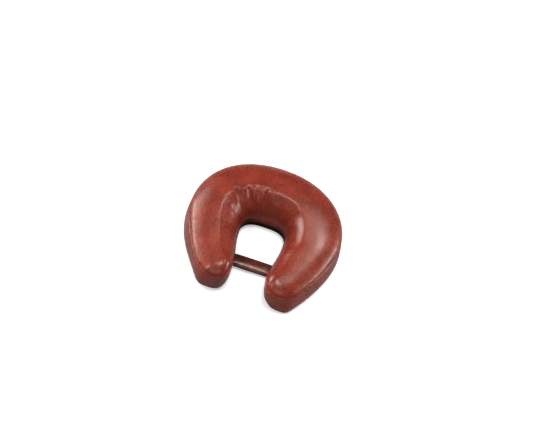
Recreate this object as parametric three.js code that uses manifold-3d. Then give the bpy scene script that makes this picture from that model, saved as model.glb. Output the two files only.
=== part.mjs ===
// Face cradle cushion: a horseshoe foam pad in a sewn vinyl cover, with a padded strap across the arms.
// Millimetres, +Z up. The origin is under the middle of the cushion's box, on the plane it rests on.
// +Y points to the closed back of the horseshoe, and the two arms reach towards -Y.
import * as THREE from "three";
import { mergeVertices } from "three/addons/utils/BufferGeometryUtils.js";
import Module from "manifold-3d";

const wasm = await Module();
wasm.setup();

// ---------- driving dimensions ----------
const WIDTH = 300; // across the widest part of the horseshoe
const LENGTH = 289; // from the arm tips to the back
const GAP = 0.3; // between pieces that touch
const VINYL = 1.4; // cover thickness with its backing cloth

const TAPE = 1.6; // loop tape under the base
const TAPE_WIDTH = 25;
// Where the tapes start and end, as shares of the way from the back's middle to an arm's end.
const BACK_TAPE_END = 0.33;
const SIDE_TAPE = [0.46, 0.86];
const PANEL = 1.6; // base panel thickness
const PANEL_Z = TAPE + GAP;
const BAND_Z = PANEL_Z + PANEL + GAP; // lower edge of both side bands

const OUTER = {
  halfWidth: WIDTH / 2,
  widestY: 2,
  backY: LENGTH / 2,
  roundness: 2.15, // exponent of the back's superellipse
  endX: 96,
  endY: -129,
  taper: 1.65, // how late the sides turn in towards the tips
};
const TIP = { x: 66, y: -LENGTH / 2 }; // foremost point of an arm
const HOLE = { halfWidth: 44, widestY: -8, backY: 28, roundness: 2.9, endX: 32, endY: -104 };
const RIDGE = {
  halfWidth: 82,
  widestY: -22,
  backY: 60,
  roundness: 2.3,
  endX: 50,
  endY: -109,
  taper: 1.6,
};

// Heights of the sewn seams and of the ridge, at the back and at the tips.
const OUTER_SEAM = [37, 42];
const HOLE_SEAM = [20, 42];
const RIDGE_HEIGHT = [79, 58];
const HOLE_SEAM_CLIMB = 4; // power that keeps the hole's seam low until near the tips
const CROWN = { outer: 2.6, inner: 1.5, tip: 1.9 }; // exponents of the crown's section

const SIDE_STATIONS = 17; // along each side, from the back's middle to the arm's end
const TIP_STATIONS = 7;
const CROWN_ROWS = 7;

const BASE_FOAM_TOP = 17;
const SUPPORT_FOAM_TOP = 42;

const STRAP = { y: -67, width: 28, height: 12, bottom: 0.6, roundness: 2.6, sides: 20 };
const WEBBING = { width: 20, thickness: 1.6, halfLength: 74 };
const PATCH = { width: 32, length: 30, thickness: 1.5 };

// ---------- plan curves of the right half ----------
const lerp = THREE.MathUtils.lerp;

// A quarter of a superellipse from the back's middle to the widest point.
function backArc({ halfWidth, widestY, backY, roundness }, count) {
  const points = [];
  for (let i = 0; i < count; i++) {
    const angle = ((1 - i / (count - 1)) * Math.PI) / 2;
    const x = halfWidth * Math.pow(Math.max(Math.cos(angle), 0), 2 / roundness);
    const y = lerp(widestY, backY, Math.pow(Math.max(Math.sin(angle), 0), 2 / roundness));
    points.push(new THREE.Vector2(i ? x : 0, y));
  }
  return points;
}

// The side from the widest point to its end; ease says how far it has turned in at each share.
function side({ halfWidth, widestY, endX, endY }, ease, count) {
  const points = [];
  for (let i = 1; i < count; i++) {
    const share = i / (count - 1);
    points.push(new THREE.Vector2(lerp(halfWidth, endX, ease(share)), lerp(widestY, endY, share)));
  }
  return points;
}

// The same line as count points at equal steps along it.
function evenly(points, count) {
  const along = [0];
  for (let i = 1; i < points.length; i++) along.push(along[i - 1] + points[i].distanceTo(points[i - 1]));
  const total = along[along.length - 1];
  const result = [];
  for (let k = 0, i = 1; k < count; k++) {
    const target = (total * k) / (count - 1);
    while (i < points.length - 1 && along[i] < target) i++;
    const share = (target - along[i - 1]) / (along[i] - along[i - 1]);
    result.push(points[i - 1].clone().lerp(points[i], Math.min(share, 1)));
  }
  return result;
}

const FINE = 40; // points on each half of a plan curve before it is spaced evenly
function planCurve(shape, ease) {
  return evenly([...backArc(shape, FINE), ...side(shape, ease, FINE)], SIDE_STATIONS);
}

const smooth = (t) => t * t * (3 - 2 * t);
const outerLine = planCurve(OUTER, (t) => Math.pow(t, OUTER.taper));
const holeLine = planCurve(HOLE, smooth);
const ridgeLine = planCurve(RIDGE, (t) => Math.pow(t, RIDGE.taper));

// The rounded arm tip, from the outer side's end to the hole side's end.
function tipLine() {
  const start = outerLine[SIDE_STATIONS - 1];
  const end = holeLine[SIDE_STATIONS - 1];
  const front = new THREE.Vector2(TIP.x, TIP.y);
  const heading = start.clone().sub(outerLine[SIDE_STATIONS - 2]).normalize();
  const outerReach = start.distanceTo(front) / 2;
  const innerReach = end.distanceTo(front) / 2;
  const outer = new THREE.CubicBezierCurve(
    start,
    start.clone().addScaledVector(heading, outerReach),
    front.clone().add(new THREE.Vector2(outerReach, 0)),
    front,
  );
  const inner = new THREE.CubicBezierCurve(
    front,
    front.clone().sub(new THREE.Vector2(innerReach, 0)),
    end.clone().sub(new THREE.Vector2(0, innerReach)),
    end,
  );
  const half = (TIP_STATIONS + 1) / 2;
  return [...outer.getPoints(half).slice(1), ...inner.getPoints(half).slice(1, -1)];
}

// ---------- stations round the whole cushion ----------
// Each station holds a point of the seam, its outward normal, the ridge point over it, the heights of the
// seam and the ridge there, and the exponent of the crown's section. share goes from 0 at the back to 1 at
// the tip, and innerShare from 0 on the outside to 1 on the hole's side.
function station(seam, ridge, share, innerShare) {
  const outerSeam = lerp(...OUTER_SEAM, smooth(share));
  const holeSeam = lerp(...HOLE_SEAM, Math.pow(share, HOLE_SEAM_CLIMB));
  const outerCrown = lerp(CROWN.outer, CROWN.tip, Math.pow(share, 3));
  const innerCrown = lerp(CROWN.inner, CROWN.tip, Math.pow(share, 3));
  return {
    seam,
    ridge,
    seamHeight: lerp(outerSeam, holeSeam, innerShare),
    ridgeHeight: lerp(...RIDGE_HEIGHT, smooth(share)),
    crown: lerp(outerCrown, innerCrown, innerShare),
  };
}

function halfStations() {
  const last = SIDE_STATIONS - 1;
  const outer = outerLine.map((p, i) => station(p, ridgeLine[i], i / last, 0));
  const tip = tipLine().map((p, i) => station(p, ridgeLine[last], 1, (i + 1) / (TIP_STATIONS + 1)));
  const inner = holeLine.map((p, i) => station(p, ridgeLine[i], i / last, 1)).reverse();
  return [...outer, ...tip, ...inner];
}

function mirrored(s) {
  const flip = (p) => new THREE.Vector2(-p.x, p.y);
  return { ...s, seam: flip(s.seam), ridge: flip(s.ridge) };
}

function allStations() {
  const right = halfStations();
  const left = right.slice(1, -1).map(mirrored).reverse();
  const loop = [...right, ...left];
  loop.forEach((s, i) => {
    const before = loop[(i + loop.length - 1) % loop.length].seam;
    const after = loop[(i + 1) % loop.length].seam;
    const along = after.clone().sub(before).normalize();
    s.normal = new THREE.Vector2(-along.y, along.x);
  });
  return loop;
}

const stations = allStations();

const insetPoint = (s, inset) => s.seam.clone().addScaledVector(s.normal, -inset);

// ---------- mesh helpers ----------
// A closed surface from rows of points, each row a loop of the same length. The first and last rows are
// either folded lines that close on themselves, or meet each other when wrap is true.
function skin(rows, wrap = false) {
  const size = rows[0].length;
  const points = rows.flat();
  const index = [];
  const steps = wrap ? rows.length : rows.length - 1;
  for (let r = 0; r < steps; r++) {
    for (let i = 0; i < size; i++) {
      const a = r * size + i;
      const b = r * size + ((i + 1) % size);
      const c = ((r + 1) % rows.length) * size + i;
      const d = ((r + 1) % rows.length) * size + ((i + 1) % size);
      // The shorter diagonal keeps an inner skin's facets parallel to the outer's.
      if (points[b].distanceTo(points[c]) < points[a].distanceTo(points[d])) index.push(a, c, b, b, c, d);
      else index.push(a, c, d, a, d, b);
    }
  }
  const position = new Float32Array(points.flatMap((p) => [p.x, p.y, p.z]));
  const geometry = new THREE.BufferGeometry();
  geometry.setAttribute("position", new THREE.BufferAttribute(position, 3));
  geometry.setIndex(index);
  return closed(geometry);
}

// The geometry with shared vertices merged, empty triangles dropped and its faces pointing out.
function closed(geometry) {
  const bare = geometry.clone();
  bare.deleteAttribute("normal");
  bare.deleteAttribute("uv");
  const merged = mergeVertices(bare, 1e-3);
  const kept = [];
  const old = merged.index.array;
  for (let i = 0; i < old.length; i += 3) {
    const [a, b, c] = [old[i], old[i + 1], old[i + 2]];
    if (a !== b && b !== c && c !== a) kept.push(a, b, c);
  }
  merged.setIndex(kept);
  if (volume(merged) < 0) {
    for (let i = 0; i < kept.length; i += 3) [kept[i], kept[i + 1]] = [kept[i + 1], kept[i]];
    merged.setIndex(kept);
  }
  return merged;
}

function volume(geometry) {
  const p = geometry.attributes.position;
  const corners = [new THREE.Vector3(), new THREE.Vector3(), new THREE.Vector3()];
  let sum = 0;
  for (let i = 0; i < geometry.index.count; i += 3) {
    corners.forEach((v, k) => v.fromBufferAttribute(p, geometry.index.getX(i + k)));
    sum += corners[0].dot(corners[1].clone().cross(corners[2])) / 6;
  }
  return sum;
}

function toSolid(geometry) {
  const g = closed(geometry);
  return new wasm.Manifold(
    new wasm.Mesh({
      numProp: 3,
      vertProperties: new Float32Array(g.attributes.position.array),
      triVerts: new Uint32Array(g.index.array),
    }),
  );
}

function fromSolid(solid) {
  const mesh = solid.getMesh();
  const geometry = new THREE.BufferGeometry();
  geometry.setAttribute("position", new THREE.BufferAttribute(new Float32Array(mesh.vertProperties), 3));
  geometry.setIndex(new THREE.BufferAttribute(new Uint32Array(mesh.triVerts), 1));
  return geometry;
}

// A box from its lowest and highest corners.
function boxSolid(low, high) {
  const size = high.map((h, i) => h - low[i]);
  const geometry = new THREE.BoxGeometry(...size);
  geometry.translate(...low.map((l, i) => l + size[i] / 2));
  return toSolid(geometry);
}

// ---------- shapes shared by several pieces ----------
// One row of the crown: share 0 is the seam and 1 the ridge.
function crownRow(inset, share) {
  const angle = (share * Math.PI) / 2;
  return stations.map((s) => {
    const across = share === 1 ? 1 : 1 - Math.pow(Math.cos(angle), 2 / s.crown);
    const up = share === 1 ? 1 : Math.pow(Math.sin(angle), 2 / s.crown);
    const p = insetPoint(s, inset).lerp(s.ridge, across);
    return new THREE.Vector3(p.x, p.y, lerp(s.seamHeight, s.ridgeHeight - inset, up));
  });
}

function crownRows(inset) {
  return Array.from({ length: CROWN_ROWS + 1 }, (_, i) => crownRow(inset, i / CROWN_ROWS));
}

// The whole cushion as one solid, standing on bottom and inset from the outer skin.
function cushionSolid(inset, bottom) {
  const fold = stations.map((s) => new THREE.Vector3(s.ridge.x, s.ridge.y, bottom));
  const foot = stations.map((s) => {
    const p = insetPoint(s, inset);
    return new THREE.Vector3(p.x, p.y, bottom);
  });
  return toSolid(skin([fold, foot, ...crownRows(inset)]));
}

// The horseshoe's plan, inset, as an extrudable shape.
function slab(inset, thickness, z) {
  const shape = new THREE.Shape(stations.map((s) => insetPoint(s, inset)));
  const geometry = new THREE.ExtrudeGeometry(shape, { depth: thickness, bevelEnabled: false });
  geometry.translate(0, 0, z);
  return geometry;
}

// ---------- cover ----------
function topCover() {
  const outside = crownRows(0);
  const inside = crownRows(VINYL).reverse();
  for (const row of [outside[0], inside[inside.length - 1]]) {
    for (const p of row) p.z += GAP / 2;
  }
  return skin([...outside, ...inside], true);
}

// A strip of cover standing on edge along some of the stations, up to just under the seam.
function band(members) {
  const corner = (s, inset, z) => {
    const p = insetPoint(s, inset);
    return new THREE.Vector3(p.x, p.y, z);
  };
  const sections = members.map((s) => [
    corner(s, 0, BAND_Z),
    corner(s, 0, s.seamHeight - GAP / 2),
    corner(s, VINYL, s.seamHeight - GAP / 2),
    corner(s, VINYL, BAND_Z),
  ]);
  const startMiddle = sections[0].map(() => middleOf(sections[0]));
  const endMiddle = sections[0].map(() => middleOf(sections[sections.length - 1]));
  return skin([startMiddle, ...sections, endMiddle]);
}

function middleOf(points) {
  const sum = points.reduce((total, p) => total.add(p), new THREE.Vector3());
  return sum.divideScalar(points.length);
}

// The two bands join on the hole side of each arm, this many stations behind the tip.
const JOIN = 1;
const joinRight = SIDE_STATIONS + TIP_STATIONS + JOIN;
const joinLeft = stations.length - joinRight;

function shortened(members) {
  // Both ends are drawn back by half a gap, so that the two bands don't touch.
  const copy = members.map((s) => ({ ...s }));
  const [first, second] = copy;
  const [beforeLast, last] = copy.slice(-2);
  const pull = (end, next) => {
    const step = GAP / 2 / end.seam.distanceTo(next.seam);
    end.seam = end.seam.clone().lerp(next.seam, step);
  };
  pull(first, second);
  pull(last, beforeLast);
  return copy;
}

function outerBand() {
  return band(shortened([...stations.slice(joinLeft), ...stations.slice(0, joinRight + 1)]));
}

function innerBand() {
  const whole = toSolid(band(shortened(stations.slice(joinRight, joinLeft + 1))));
  const slitWidth = WEBBING.width + 2 * GAP;
  const slit = boxSolid(
    [-2 * HOLE.halfWidth, STRAP.y - slitWidth / 2, 0],
    [2 * HOLE.halfWidth, STRAP.y + slitWidth / 2, WEBBING_Z + WEBBING.thickness + GAP],
  );
  return fromSolid(whole.subtract(slit));
}

// ---------- strap across the arms ----------
const WEBBING_Z = BAND_Z + GAP;
const STRAP_Z = STRAP.bottom + STRAP.height / 2;

// A flattened tube along X, its section a superellipse.
function strapTube(inset, halfLength) {
  const shape = new THREE.Shape();
  const power = 2 / STRAP.roundness;
  for (let i = 0; i < STRAP.sides; i++) {
    const angle = (2 * Math.PI * i) / STRAP.sides;
    const y = Math.sign(Math.cos(angle)) * Math.pow(Math.abs(Math.cos(angle)), power);
    const z = Math.sign(Math.sin(angle)) * Math.pow(Math.abs(Math.sin(angle)), power);
    const point = [y * (STRAP.width / 2 - inset), z * (STRAP.height / 2 - inset)];
    if (i) shape.lineTo(...point);
    else shape.moveTo(...point);
  }
  const geometry = new THREE.ExtrudeGeometry(shape, { depth: 2 * halfLength, bevelEnabled: false });
  geometry.translate(0, 0, -halfLength);
  geometry.rotateY(Math.PI / 2);
  geometry.rotateX(Math.PI / 2);
  geometry.translate(0, STRAP.y, STRAP_Z);
  return toSolid(geometry);
}

const clearOfCushion = cushionSolid(-GAP, 0);

function strapSleeve() {
  const bore = strapTube(VINYL, 2 * HOLE.halfWidth);
  return fromSolid(strapTube(0, HOLE.halfWidth).subtract(bore).subtract(clearOfCushion));
}

function strapPadding() {
  const above = boxSolid(
    [-HOLE.halfWidth, STRAP.y - STRAP.width, WEBBING_Z + WEBBING.thickness + GAP],
    [HOLE.halfWidth, STRAP.y + STRAP.width, STRAP.height + STRAP.bottom],
  );
  return fromSolid(strapTube(VINYL + GAP, HOLE.halfWidth).intersect(above).subtract(clearOfCushion));
}

function strapWebbing() {
  return fromSolid(
    boxSolid(
      [-WEBBING.halfLength, STRAP.y - WEBBING.width / 2, WEBBING_Z],
      [WEBBING.halfLength, STRAP.y + WEBBING.width / 2, WEBBING_Z + WEBBING.thickness],
    ),
  );
}

const PATCH_Z = WEBBING_Z + WEBBING.thickness + GAP;
const PATCH_X = WEBBING.halfLength - PATCH.length / 2; // the patch's middle

function strapPatch(hand) {
  const geometry = new THREE.BoxGeometry(PATCH.length, PATCH.width, PATCH.thickness);
  geometry.translate(hand * PATCH_X, STRAP.y, PATCH_Z + PATCH.thickness / 2);
  return geometry;
}

// ---------- foam ----------
function foamLayer(low, high) {
  const foam = cushionSolid(VINYL + GAP, BAND_Z);
  return foam.intersect(boxSolid([-WIDTH, -LENGTH, low], [WIDTH, LENGTH, high]));
}

function baseFoam() {
  // A recess on each arm's underside, open to the hole, clears the webbing's end and its patch.
  const recessStart = 0.8 * HOLE.endX;
  let foam = foamLayer(0, BASE_FOAM_TOP);
  const recessWidth = PATCH.width + 2 * GAP;
  for (const hand of [-1, 1]) {
    const ends = [hand * recessStart, hand * (WEBBING.halfLength + GAP)].sort((a, b) => a - b);
    foam = foam.subtract(
      boxSolid(
        [ends[0], STRAP.y - recessWidth / 2, 0],
        [ends[1], STRAP.y + recessWidth / 2, PATCH_Z + PATCH.thickness + GAP],
      ),
    );
  }
  return fromSolid(foam);
}

// ---------- loop tape ----------
// A tape along the middle of the base, between two shares of the way from the back to the tips.
function loopTape(from, to) {
  const last = SIDE_STATIONS - 1;
  const middle = (share) => {
    const at = Math.abs(share) * last;
    const i = Math.min(Math.floor(at), last - 1);
    const outer = outerLine[i].clone().lerp(outerLine[i + 1], at - i);
    const inner = holeLine[i].clone().lerp(holeLine[i + 1], at - i);
    const point = outer.lerp(inner, 0.5);
    return new THREE.Vector2(share < 0 ? -point.x : point.x, point.y);
  };
  const steps = 12;
  const nudge = 0.01; // to either side, for the tape's direction
  const left = [];
  const right = [];
  for (let i = 0; i <= steps; i++) {
    const share = lerp(from, to, i / steps);
    const along = middle(share + nudge).sub(middle(share - nudge)).normalize();
    const across = new THREE.Vector2(-along.y, along.x).multiplyScalar(TAPE_WIDTH / 2);
    left.push(middle(share).add(across));
    right.unshift(middle(share).sub(across));
  }
  return new THREE.ExtrudeGeometry(new THREE.Shape([...left, ...right]), {
    depth: TAPE,
    bevelEnabled: false,
  });
}

// ---------- assembly ----------
const material = (color, roughness) => new THREE.MeshStandardMaterial({ color, roughness });
const vinyl = material(0x8c3b2e, 0.38);
const vinylDark = material(0x6e3027, 0.45);
const lining = material(0x2a1310, 0.5);
const foamFirm = material(0xd9cfae, 0.95);
const foamMedium = material(0xe8dfc2, 0.95);
const foamSoft = material(0xf1ecd8, 0.95);
const panelCloth = material(0x3a2320, 0.85);
const loopPile = material(0x241715, 0.95);
const webbingWeave = material(0x2b2523, 0.9);

const cushion = new THREE.Group();

function add(name, geometry, look) {
  const mesh = new THREE.Mesh(geometry, look);
  mesh.name = name;
  cushion.add(mesh);
}

add("top_cover", topCover(), vinyl);
add("outer_band", outerBand(), vinyl);
add("inner_band", innerBand(), lining);
add("base_panel", slab(0, PANEL, PANEL_Z), panelCloth);

add("base_foam", baseFoam(), foamFirm);
add("support_foam", fromSolid(foamLayer(BASE_FOAM_TOP + GAP, SUPPORT_FOAM_TOP)), foamMedium);
add("comfort_foam", fromSolid(foamLayer(SUPPORT_FOAM_TOP + GAP, 2 * LENGTH)), foamSoft);

add("strap_sleeve", strapSleeve(), vinylDark);
add("strap_padding", strapPadding(), foamSoft);
add("strap_webbing", strapWebbing(), webbingWeave);
add("strap_patch_right", strapPatch(1), vinylDark);
add("strap_patch_left", strapPatch(-1), vinylDark);

add("loop_tape_back", loopTape(-BACK_TAPE_END, BACK_TAPE_END), loopPile);
add("loop_tape_right", loopTape(...SIDE_TAPE), loopPile);
add("loop_tape_left", loopTape(-SIDE_TAPE[1], -SIDE_TAPE[0]), loopPile);

export default cushion;
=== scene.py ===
"""Looks of a face cradle cushion: a horseshoe pad in brown-red vinyl with a strap across its arms."""

import math

import bmesh
import bpy
import numpy as np
from mathutils import Matrix, Vector


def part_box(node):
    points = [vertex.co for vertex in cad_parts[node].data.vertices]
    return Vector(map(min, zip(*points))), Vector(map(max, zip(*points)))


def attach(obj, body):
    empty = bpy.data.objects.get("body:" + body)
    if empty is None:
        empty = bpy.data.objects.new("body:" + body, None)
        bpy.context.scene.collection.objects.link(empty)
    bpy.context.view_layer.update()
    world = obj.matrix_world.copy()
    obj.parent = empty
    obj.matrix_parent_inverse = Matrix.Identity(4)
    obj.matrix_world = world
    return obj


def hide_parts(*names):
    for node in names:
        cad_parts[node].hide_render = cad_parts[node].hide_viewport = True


MM = 0.001

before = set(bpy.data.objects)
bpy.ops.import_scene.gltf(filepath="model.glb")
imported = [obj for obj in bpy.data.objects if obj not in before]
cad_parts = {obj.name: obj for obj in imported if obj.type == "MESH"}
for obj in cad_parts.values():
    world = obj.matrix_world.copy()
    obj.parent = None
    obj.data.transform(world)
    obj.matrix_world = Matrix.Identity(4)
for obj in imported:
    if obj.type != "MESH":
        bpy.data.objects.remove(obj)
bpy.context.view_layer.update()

# ---------- sizes read from the frame ----------
band_low, band_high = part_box("outer_band")
hole_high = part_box("inner_band")[1]
panel_low, panel_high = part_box("base_panel")
cover_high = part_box("top_cover")[1]
sleeve_low, sleeve_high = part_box("strap_sleeve")

VINYL = 1.4 * MM
HALF_WIDTH = band_high.x
BACK_Y = band_high.y
TIP_Y = band_low.y
BAND_Z = band_low.z
TOP_Z = cover_high.z
HOLE_HALF_WIDTH = hole_high.x - VINYL
HOLE_BACK_Y = hole_high.y - VINYL
STRAP_Y = (sleeve_low.y + sleeve_high.y) / 2
STRAP_Z = (sleeve_low.z + sleeve_high.z) / 2

# ---------- the shape, as in the frame's parts ----------
OUTER = dict(
    half_width=HALF_WIDTH, widest_y=2 * MM, back_y=BACK_Y, roundness=2.15, end=(96 * MM, -129 * MM)
)
OUTER_TAPER = 1.65
TIP_FRONT = (66 * MM, TIP_Y)
HOLE = dict(
    half_width=HOLE_HALF_WIDTH,
    widest_y=-8 * MM,
    back_y=HOLE_BACK_Y,
    roundness=2.9,
    end=(32 * MM, -104 * MM),
)
RIDGE = dict(
    half_width=82 * MM, widest_y=-22 * MM, back_y=60 * MM, roundness=2.3, end=(50 * MM, -109 * MM)
)
RIDGE_TAPER = 1.6
OUTER_SEAM_Z = (37 * MM, 42 * MM)  # at the back and at the tips
HOLE_SEAM_Z = (20 * MM, 42 * MM)
HOLE_SEAM_CLIMB = 4
RIDGE_Z = (TOP_Z, 58 * MM)
CROWN_OUTER, CROWN_INNER, CROWN_TIP = 2.45, 1.5, 2.0
RIGHT_ARM_CROWN = 2.1  # the hole's side of the right arm is rounder than the left's,
RIGHT_ARM_START, RIGHT_ARM_FADE = 100 * MM, 50 * MM  # from this place along the ridge
TIP_LOW_ANGLE = math.radians(28)  # how far the crown leans in where it leaves the seam at the tips

# The sewn cushion isn't quite even. Towards the tips the top seam lies inside the base outline, and the
# ridge is pushed out at the left of the bowl and in at its right, all as distances across the outline.
SEAM_LEAN = 5.5 * MM
LEAN_START, LEAN_FADE = 0.30, 0.55  # as shares of the way from the back to the tip
LEAN_END = 0.9  # how far round the tip the lean runs out
RIDGE_SWAYS = [  # place along the ridge, spread, and distance out
    (-90 * MM, 40 * MM, 11 * MM),
    (5 * MM, 50 * MM, -4 * MM),
    (105 * MM, 42 * MM, -7 * MM),
]
TIP_CORNER = (0.16, 0.14, 2.5 * MM)  # the top seam's cut at each tip's outer corner: place, spread, depth
BASE_NOTCH = (0.62, 0.12, 2 * MM)  # a wave in the right tip's lower edge: place, spread and depth
BASE_TAPER = {1: (0, 7 * MM), -1: (5.5 * MM, 1.5 * MM)}  # right and left tip: outer side, hole's side
TAPER_START, TAPER_FADE = 0.72, 0.28
AT_TIP = 0.999  # the share from which a place counts as part of the tip

SIDE_PLACES = 170  # places along each side of an arm
TIP_PLACES = 44  # places round each arm tip
COVER_ROWS = 36


# ---------- plan curves of the right half ----------
def back_arc(half_width, widest_y, back_y, roundness, count):
    angle = np.linspace(math.pi / 2, 0, count)
    x = half_width * np.cos(angle).clip(0) ** (2 / roundness)
    y = widest_y + (back_y - widest_y) * np.sin(angle) ** (2 / roundness)
    x[0] = 0
    return np.column_stack([x, y])


def side(half_width, widest_y, end, ease, count):
    share = np.linspace(0, 1, count)[1:]
    x = half_width + (end[0] - half_width) * ease(share)
    y = widest_y + (end[1] - widest_y) * share
    return np.column_stack([x, y])


def evenly(points, count):
    """The same line as count points at equal steps along it."""
    steps = np.linalg.norm(np.diff(points, axis=0), axis=1)
    along = np.concatenate([[0], np.cumsum(steps)])
    at = np.linspace(0, along[-1], count)
    return np.column_stack([np.interp(at, along, points[:, k]) for k in range(points.shape[1])])


def smooth(t):
    return t * t * (3 - 2 * t)


def rise(x, start, span):
    """0 up to start, and then a smooth climb to 1 over span."""
    return smooth(((x - start) / span).clip(0, 1))


def hill(x, middle, spread):
    """A bell curve, 1 at the middle."""
    return np.exp(-(((x - middle) / spread) ** 2))


def bump(x, low, high, fade):
    """1 between low and high, falling smoothly to 0 over fade on each side."""
    climb = smooth(((x - low) / fade + 1).clip(0, 1))
    fall = smooth(((high - x) / fade + 1).clip(0, 1))
    return climb * fall


def plan_curve(half_width, widest_y, back_y, roundness, end, ease, count):
    fine = 400
    back = back_arc(half_width, widest_y, back_y, roundness, fine)
    return evenly(np.vstack([back, side(half_width, widest_y, end, ease, fine)]), count)


def bezier(a, b, c, d, count):
    t = np.linspace(0, 1, count)[:, None]
    return (1 - t) ** 3 * a + 3 * (1 - t) ** 2 * t * b + 3 * (1 - t) * t * t * c + t**3 * d


def tip_curve(outer, hole, count):
    """The rounded arm tip, between the outer side's end and the hole side's end, both left out."""
    start, end, front = outer[-1], hole[-1], np.array(TIP_FRONT)
    heading = start - outer[-2]
    heading /= np.linalg.norm(heading)
    reach_out = np.linalg.norm(front - start) / 2
    reach_in = np.linalg.norm(front - end) / 2
    first = bezier(start, start + heading * reach_out, front + [reach_out, 0], front, 200)
    second = bezier(front, front - [reach_in, 0], end - [0, reach_in], end, 200)
    return evenly(np.vstack([first, second[1:]]), count + 2)[1:-1]


# ---------- stations round the whole cushion ----------
class Stations:
    """A loop of places: right outer side, right tip, right hole side, and back by the left.

    seam is each place's point on the outline, normal its outward direction, ridge the ridge point over it,
    share its way from the back, 0, to the tip, 1, and inner is 1 on the hole's side and 0 on the outside.
    along is its place along the ridge from the back's middle, below 0 on the left, and hand is -1 there.
    """

    def __init__(self, along_side, round_tip):
        outer = plan_curve(**OUTER, ease=lambda t: t**OUTER_TAPER, count=along_side)
        hole = plan_curve(**HOLE, ease=smooth, count=along_side)
        ridge = plan_curve(**RIDGE, ease=lambda t: t**RIDGE_TAPER, count=along_side)
        tip = tip_curve(outer, hole, round_tip)
        share = np.linspace(0, 1, along_side)
        tip_inner = (np.arange(round_tip) + 1) / (round_tip + 1)
        last = np.repeat(ridge[-1:], round_tip, axis=0)
        number = np.arange(along_side)
        right = dict(
            seam=np.vstack([outer, tip, hole[::-1]]),
            ridge=np.vstack([ridge, last, ridge[::-1]]),
            share=np.concatenate([share, np.ones(round_tip), share[::-1]]),
            inner=np.concatenate([np.zeros(along_side), tip_inner, np.ones(along_side)]),
            partner=np.concatenate([number, np.full(round_tip, along_side - 1), number[::-1]]),
        )
        middle = slice(-2, 0, -1)
        flip = np.array([-1, 1])
        self.seam = np.vstack([right["seam"], right["seam"][middle] * flip])
        self.ridge = np.vstack([right["ridge"], right["ridge"][middle] * flip])
        self.share = np.concatenate([right["share"], right["share"][middle]])
        self.inner = np.concatenate([right["inner"], right["inner"][middle]])
        self.hand = np.concatenate([np.ones(len(right["share"])), -np.ones(len(right["share"]) - 2)])
        # Places that share a ridge point have the same number here.
        left = right["partner"][middle]
        self.ridge_number = np.concatenate([right["partner"], np.where(left == 0, 0, -left)])
        along = np.roll(self.seam, -1, axis=0) - np.roll(self.seam, 1, axis=0)
        along /= np.linalg.norm(along, axis=1)[:, None]
        self.normal = np.column_stack([-along[:, 1], along[:, 0]])
        ridge_steps = np.linalg.norm(np.diff(ridge, axis=0), axis=1)
        ridge_along = np.concatenate([[0], np.cumsum(ridge_steps)])
        self.along = np.interp(self.share, share, ridge_along) * self.hand
        self.count = len(self.seam)
        self.sway_ridge()
        near_tip = rise(self.share, LEAN_START, LEAN_FADE)
        self.lean = SEAM_LEAN * near_tip * (1 - rise(self.inner, 0, LEAN_END))
        place, spread, depth = TIP_CORNER
        self.lean += depth * hill(self.inner, place, spread) * near_tip**3 * (self.share > AT_TIP)
        tip_only = rise(self.share, TAPER_START, TAPER_FADE)
        low, high = (np.where(self.hand > 0, BASE_TAPER[1][k], BASE_TAPER[-1][k]) for k in (0, 1))
        self.taper = (low + (high - low) * smooth(self.inner)) * tip_only
        place, spread, depth = BASE_NOTCH
        self.taper += depth * hill(self.inner, place, spread) * tip_only * (self.hand > 0)

    def sway_ridge(self):
        line = np.roll(self.ridge, -1, axis=0) - np.roll(self.ridge, 1, axis=0)
        length = np.linalg.norm(line, axis=1)
        outward = np.column_stack([-line[:, 1], line[:, 0]]) / np.maximum(length, 1e-9)[:, None]
        outward *= np.where(self.inner > 0.5, -1, 1)[:, None]
        sway = sum(size * hill(self.along, place, spread) for place, spread, size in RIDGE_SWAYS)
        self.ridge = self.ridge + outward * (sway * (self.share < AT_TIP))[:, None]

    def seam_z(self):
        outer = OUTER_SEAM_Z[0] + (OUTER_SEAM_Z[1] - OUTER_SEAM_Z[0]) * smooth(self.share)
        hole = HOLE_SEAM_Z[0] + (HOLE_SEAM_Z[1] - HOLE_SEAM_Z[0]) * self.share**HOLE_SEAM_CLIMB
        return outer + (hole - outer) * self.inner

    def ridge_z(self):
        return RIDGE_Z[0] + (RIDGE_Z[1] - RIDGE_Z[0]) * smooth(self.share)

    def crown(self):
        outer = CROWN_OUTER + (CROWN_TIP - CROWN_OUTER) * self.share**2
        right_arm = rise(self.along, RIGHT_ARM_START, RIGHT_ARM_FADE)
        hole = CROWN_INNER + (RIGHT_ARM_CROWN - CROWN_INNER) * right_arm
        hole += (CROWN_TIP - hole) * self.share**3
        return outer + (hole - outer) * self.inner


stations = Stations(SIDE_PLACES, TIP_PLACES)


# ---------- mesh helpers ----------
def rows_between(start_row, count, columns, wrap):
    """Quads between neighbouring rows of a grid whose rows hold columns vertices each."""
    last = columns if wrap else columns - 1
    for r in range(start_row, start_row + count):
        for c in range(last):
            d = (c + 1) % columns
            yield (r * columns + c, r * columns + d, (r + 1) * columns + d, (r + 1) * columns + c)


def add_object(name, data):
    made = bpy.data.objects.new(name, data)
    bpy.context.scene.collection.objects.link(made)
    return made


def new_piece(name, points, faces, material):
    mesh = bpy.data.meshes.new(name)
    mesh.from_pydata([tuple(p) for p in points], [], faces)
    mesh.validate()
    piece = add_object(name, mesh)
    mesh.shade_smooth()
    mesh.materials.append(material)
    return piece


def face_outwards(piece, toward=1):
    """Turns every face the same way, so that the whole points out, or in where toward is -1."""
    work = bmesh.new()
    work.from_mesh(piece.data)
    bmesh.ops.recalc_face_normals(work, faces=work.faces)
    if toward < 0:
        bmesh.ops.reverse_faces(work, faces=work.faces)
    work.to_mesh(piece.data)
    work.free()


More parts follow.
